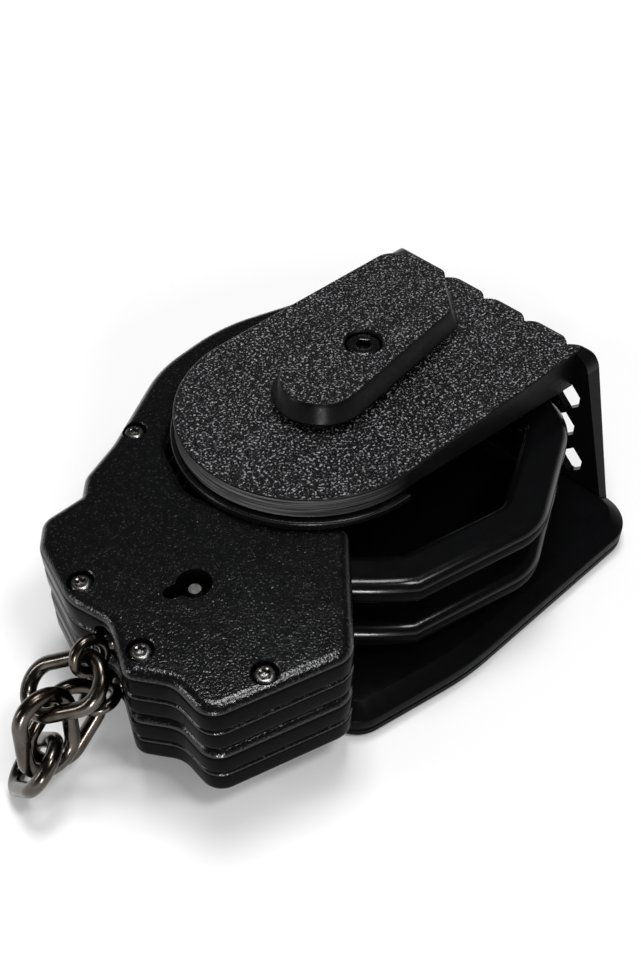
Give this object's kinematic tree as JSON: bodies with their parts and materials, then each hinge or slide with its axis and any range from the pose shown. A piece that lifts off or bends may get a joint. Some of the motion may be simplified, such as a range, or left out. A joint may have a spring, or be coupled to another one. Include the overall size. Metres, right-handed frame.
{
  "type": "folded chain handcuffs in an open belt case",
  "caption": "Chain handcuffs folded one on the other and held in an open moulded belt case with a turning button; bows, pawls, swivels and links move and the cuffs draw out.",
  "frame": {"origin": "on the case's belt-side face, on the plate's middle line, level with the turn-button's screw", "axes": "+Z out of the belt-side face towards the turn-button, +X from the chain end to the bend of the case, +Y to the side of the double strands"},
  "size_m": [0.1391, 0.0912, 0.0459],
  "materials": {
    "grained_polymer": "moulded grain",
    "smooth_polymer": "satin",
    "black_coat": "satin",
    "screw_steel": "bright",
    "chain_steel": "polished",
    "lock_steel": "ground"
  },
  "bodies": {
    "case": {"belt_plate": "smooth_polymer", "base_shell": "smooth_polymer", "front_shell": "grained_polymer", "grip_liner": "smooth_polymer", "insert_nut": "screw_steel", "belt_screw_1": "screw_steel", "belt_screw_2": "screw_steel", "belt_screw_3": "screw_steel", "belt_screw_4": "screw_steel"},
    "turn_button": {"button_cap": "grained_polymer", "button_spacer": "smooth_polymer", "button_screw": "black_coat", "button_washer": "black_coat"},
    "upper_cuff": {"upper_cuff_upper_shell": "black_coat", "upper_cuff_lower_shell": "black_coat", "upper_cuff_pivot_rivet": "black_coat", "upper_cuff_key_post": "lock_steel", "upper_cuff_pawl_pin": "lock_steel", "upper_cuff_pawl_spring": "lock_steel", "upper_cuff_screw_1": "screw_steel", "upper_cuff_screw_2": "screw_steel", "upper_cuff_screw_3": "screw_steel", "upper_cuff_screw_4": "screw_steel"},
    "upper_bow": {"upper_cuff_bow": "black_coat"},
    "upper_pawl": {"upper_cuff_pawl": "lock_steel"},
    "upper_lock_bar": {"upper_cuff_lock_bar": "lock_steel"},
    "upper_swivel": {"upper_cuff_swivel": "chain_steel"},
    "lower_cuff": {"lower_cuff_upper_shell": "black_coat", "lower_cuff_lower_shell": "black_coat", "lower_cuff_pivot_rivet": "black_coat", "lower_cuff_key_post": "lock_steel", "lower_cuff_pawl_pin": "lock_steel", "lower_cuff_pawl_spring": "lock_steel", "lower_cuff_screw_1": "screw_steel", "lower_cuff_screw_2": "screw_steel", "lower_cuff_screw_3": "screw_steel", "lower_cuff_screw_4": "screw_steel"},
    "lower_bow": {"lower_cuff_bow": "black_coat"},
    "lower_pawl": {"lower_cuff_pawl": "lock_steel"},
    "lower_lock_bar": {"lower_cuff_lock_bar": "lock_steel"},
    "lower_swivel": {"lower_cuff_swivel": "chain_steel"},
    "link_1": {"chain_link_1": "chain_steel"},
    "link_2": {"chain_link_2": "chain_steel"},
    "link_3": {"chain_link_3": "chain_steel"},
    "link_4": {"chain_link_4": "chain_steel"}
  },
  "joints": [
    {"name": "button_turn", "type": "hinge", "parent": "case", "child": "turn_button", "pos_m": [0, 0.0012, 0.04], "axis": [0, 0, 1], "continuous": true},
    {"name": "upper_cuff_draw", "type": "slide", "parent": "case", "child": "upper_cuff", "axis": [-1, 0, 0], "range_m": [0, 0.14]},
    {"name": "lower_cuff_draw", "type": "slide", "parent": "case", "child": "lower_cuff", "axis": [-1, 0, 0], "range_m": [0, 0.14]},
    {"name": "upper_bow_turn", "type": "hinge", "parent": "upper_cuff", "child": "upper_bow", "pos_m": [0.018, 0.02, 0.0264], "axis": [0, 0, 1], "range_deg": [-8.5, 2]},
    {"name": "lower_bow_turn", "type": "hinge", "parent": "lower_cuff", "child": "lower_bow", "pos_m": [0.018, 0.02, 0.0137], "axis": [0, 0, 1], "range_deg": [-8.5, 2]},
    {"name": "upper_pawl_lift", "type": "hinge", "parent": "upper_cuff", "child": "upper_pawl", "pos_m": [-0.04976, -0.02401, 0.0264], "axis": [0, 0, 1], "range_deg": [0, 2.4], "stiffness_Nm_per_rad": 0.02, "springref_deg": -2.86},
    {"name": "lower_pawl_lift", "type": "hinge", "parent": "lower_cuff", "child": "lower_pawl", "pos_m": [-0.04976, -0.02401, 0.0137], "axis": [0, 0, 1], "range_deg": [0, 2.4], "stiffness_Nm_per_rad": 0.02, "springref_deg": -2.86},
    {"name": "upper_double_lock", "type": "slide", "parent": "upper_cuff", "child": "upper_lock_bar", "axis": [1, 0, 0], "range_m": [-0.0012, 0.0012]},
    {"name": "lower_double_lock", "type": "slide", "parent": "lower_cuff", "child": "lower_lock_bar", "axis": [1, 0, 0], "range_m": [-0.0012, 0.0012]},
    {"name": "upper_swivel_turn", "type": "hinge", "parent": "upper_cuff", "child": "upper_swivel", "pos_m": [-0.0798, -0.0108, 0.0264], "axis": [1, 0, 0], "range_deg": [-12, 11]},
    {"name": "lower_swivel_turn", "type": "hinge", "parent": "lower_cuff", "child": "lower_swivel", "pos_m": [-0.0798, -0.0108, 0.0137], "axis": [1, 0, 0], "range_deg": [-15, 14]},
    {"name": "link_1_swing", "type": "hinge", "parent": "upper_cuff", "child": "link_1", "pos_m": [-0.07866, -0.01159, 0.02363], "axis": [0.9298, 0.101, 0.3539], "range_deg": [-3.5, 1]},
    {"name": "link_2_swing", "type": "hinge", "parent": "link_1", "child": "link_2", "pos_m": [-0.08892, -0.01255, 0.02004], "axis": [0, 0, 1], "range_deg": [-4.5, 4]},
    {"name": "link_4_swing", "type": "hinge", "parent": "lower_cuff", "child": "link_4", "pos_m": [-0.0826, -0.00954, 0.01331], "axis": [0.426, 0.865, -0.265], "range_deg": [-4, 3]},
    {"name": "link_3_swing", "type": "hinge", "parent": "link_4", "child": "link_3", "pos_m": [-0.09401, -0.0082, 0.00894], "axis": [0, 0, 1], "range_deg": [-24, 3.5]}
  ],
  "couplings": [
    {"joint": "lower_cuff_draw", "follows": "upper_cuff_draw", "ratio": 1}
  ]
}
